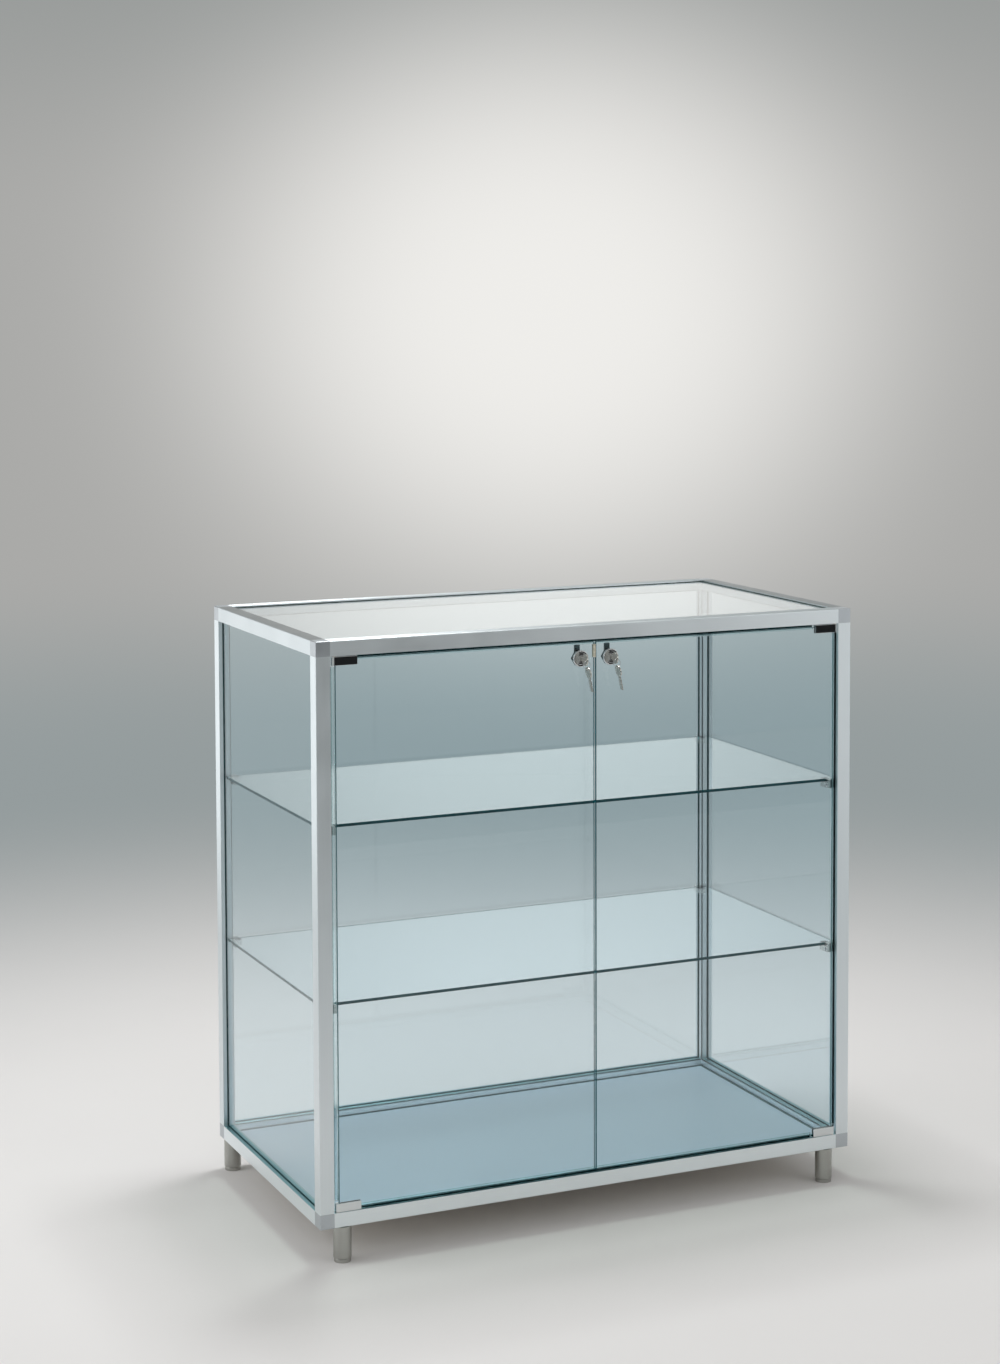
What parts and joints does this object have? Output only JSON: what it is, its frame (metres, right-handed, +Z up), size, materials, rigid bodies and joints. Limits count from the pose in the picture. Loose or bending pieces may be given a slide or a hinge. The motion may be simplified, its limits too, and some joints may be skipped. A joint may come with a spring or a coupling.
{
  "type": "glass display counter",
  "caption": "Low rectangular glass display counter with a slotted aluminium frame, hinged glass front doors with cam locks, loose glass shelves and levelling feet.",
  "frame": {"origin": "on the floor, below the middle of the frame's rectangle of four posts", "axes": "+X to the right seen from the front, +Y from the doors to the back, +Z up"},
  "size_m": [1, 0.5617, 1.025],
  "materials": {
    "frame_aluminium": "satin anodised",
    "corner_joint": "satin die-cast, slightly darker than the profiles",
    "clear_glass": "clear float glass with ground edges",
    "gasket_rubber": "matt",
    "pad_rubber": "matt",
    "base_board": "pale grey laminate",
    "bracket_nickel": "nickel plated",
    "steel": "zinc plated",
    "nylon": "plain",
    "chrome": "bright",
    "key_nickel": "nickel plated, slightly worn",
    "foot_metal": "satin",
    "clear_plastic": "clear, slightly yellowed"
  },
  "bodies": {
    "frame": {"front_left_post": "frame_aluminium", "front_right_post": "frame_aluminium", "back_left_post": "frame_aluminium", "back_right_post": "frame_aluminium", "top_front_rail": "frame_aluminium", "top_back_rail": "frame_aluminium", "top_left_rail": "frame_aluminium", "top_right_rail": "frame_aluminium", "top_corner_joints": "corner_joint", "bottom_front_rail": "frame_aluminium", "bottom_back_rail": "frame_aluminium", "bottom_left_rail": "frame_aluminium", "bottom_right_rail": "frame_aluminium", "bottom_corner_joints": "corner_joint", "top_glass": "clear_glass", "back_glass": "clear_glass", "left_glass": "clear_glass", "right_glass": "clear_glass", "top_gasket": "gasket_rubber", "back_gasket": "gasket_rubber", "side_gaskets": "gasket_rubber", "door_seals": "gasket_rubber", "base_board": "base_board", "upper_shelf_brackets": "bracket_nickel", "lower_shelf_brackets": "bracket_nickel", "shelf_bracket_screws": "steel", "hinge_bushes": "nylon", "foot_legs": "foot_metal"},
    "left_door": {"left_door_glass": "clear_glass", "left_hinge_clamps": "chrome", "left_hinge_pins": "steel", "left_clamp_pads": "pad_rubber", "left_clamp_screws": "steel", "left_lock_body": "chrome", "left_lock_nut": "chrome", "door_buffer": "clear_plastic"},
    "left_plug": {"left_lock_plug": "chrome", "left_lock_cam": "steel"},
    "left_key": {"left_key": "key_nickel"},
    "left_key_ring": {"left_key_ring": "steel"},
    "left_spare_key": {"left_spare_key": "key_nickel"},
    "right_door": {"right_door_glass": "clear_glass", "right_hinge_clamps": "chrome", "right_hinge_pins": "steel", "right_clamp_pads": "pad_rubber", "right_clamp_screws": "steel", "right_lock_body": "chrome", "right_lock_nut": "chrome"},
    "right_plug": {"right_lock_plug": "chrome", "right_lock_cam": "steel"},
    "right_key": {"right_key": "key_nickel"},
    "right_key_ring": {"right_key_ring": "steel"},
    "right_spare_key": {"right_spare_key": "key_nickel"},
    "upper_shelf": {"upper_shelf_glass": "clear_glass"},
    "lower_shelf": {"lower_shelf_glass": "clear_glass"},
    "front_left_glide": {"front_left_glide": "foot_metal"},
    "front_right_glide": {"front_right_glide": "foot_metal"},
    "back_left_glide": {"back_left_glide": "foot_metal"},
    "back_right_glide": {"back_right_glide": "foot_metal"}
  },
  "joints": [
    {"name": "left_door_hinge", "type": "hinge", "parent": "frame", "child": "left_door", "pos_m": [-0.468, -0.259, 0.5425], "axis": [0, 0, -1], "range_deg": [0, 110]},
    {"name": "left_lock_turn", "type": "hinge", "parent": "left_door", "child": "left_plug", "pos_m": [-0.028, -0.259, 0.969], "axis": [0, 1, 0], "range_deg": [0, 90]},
    {"name": "left_key_pull", "type": "slide", "parent": "left_plug", "child": "left_key", "axis": [0, -1, 0], "range_m": [0, 0.024]},
    {"name": "left_ring_swing", "type": "hinge", "parent": "left_key", "child": "left_key_ring", "pos_m": [-0.028, -0.2867, 0.96725], "axis": [-1, 0, 0], "range_deg": [-8, 60]},
    {"name": "left_spare_key_swing", "type": "hinge", "parent": "left_key_ring", "child": "left_spare_key", "pos_m": [-0.02675, -0.2867, 0.95538], "axis": [-0.9781, 0, -0.2079], "range_deg": [-8, 60]},
    {"name": "right_door_hinge", "type": "hinge", "parent": "frame", "child": "right_door", "pos_m": [0.468, -0.259, 0.5425], "axis": [0, 0, 1], "range_deg": [0, 110]},
    {"name": "right_lock_turn", "type": "hinge", "parent": "right_door", "child": "right_plug", "pos_m": [0.028, -0.259, 0.969], "axis": [0, -1, 0], "range_deg": [0, 90]},
    {"name": "right_key_pull", "type": "slide", "parent": "right_plug", "child": "right_key", "axis": [0, -1, 0], "range_m": [0, 0.024]},
    {"name": "right_ring_swing", "type": "hinge", "parent": "right_key", "child": "right_key_ring", "pos_m": [0.028, -0.2867, 0.96725], "axis": [-1, 0, 0], "range_deg": [-8, 60]},
    {"name": "right_spare_key_swing", "type": "hinge", "parent": "right_key_ring", "child": "right_spare_key", "pos_m": [0.02925, -0.2867, 0.95538], "axis": [-0.9781, 0, -0.2079], "range_deg": [-8, 60]},
    {"name": "upper_shelf_lift", "type": "slide", "parent": "frame", "child": "upper_shelf", "axis": [0, 0, 1], "range_m": [0, 0.05]},
    {"name": "lower_shelf_lift", "type": "slide", "parent": "frame", "child": "lower_shelf", "axis": [0, 0, 1], "range_m": [0, 0.05]},
    {"name": "front_left_glide_extend", "type": "slide", "parent": "frame", "child": "front_left_glide", "axis": [0, 0, -1], "range_m": [0, 0.01]},
    {"name": "front_right_glide_extend", "type": "slide", "parent": "frame", "child": "front_right_glide", "axis": [0, 0, -1], "range_m": [0, 0.01]},
    {"name": "back_left_glide_extend", "type": "slide", "parent": "frame", "child": "back_left_glide", "axis": [0, 0, -1], "range_m": [0, 0.01]},
    {"name": "back_right_glide_extend", "type": "slide", "parent": "frame", "child": "back_right_glide", "axis": [0, 0, -1], "range_m": [0, 0.01]}
  ]
}
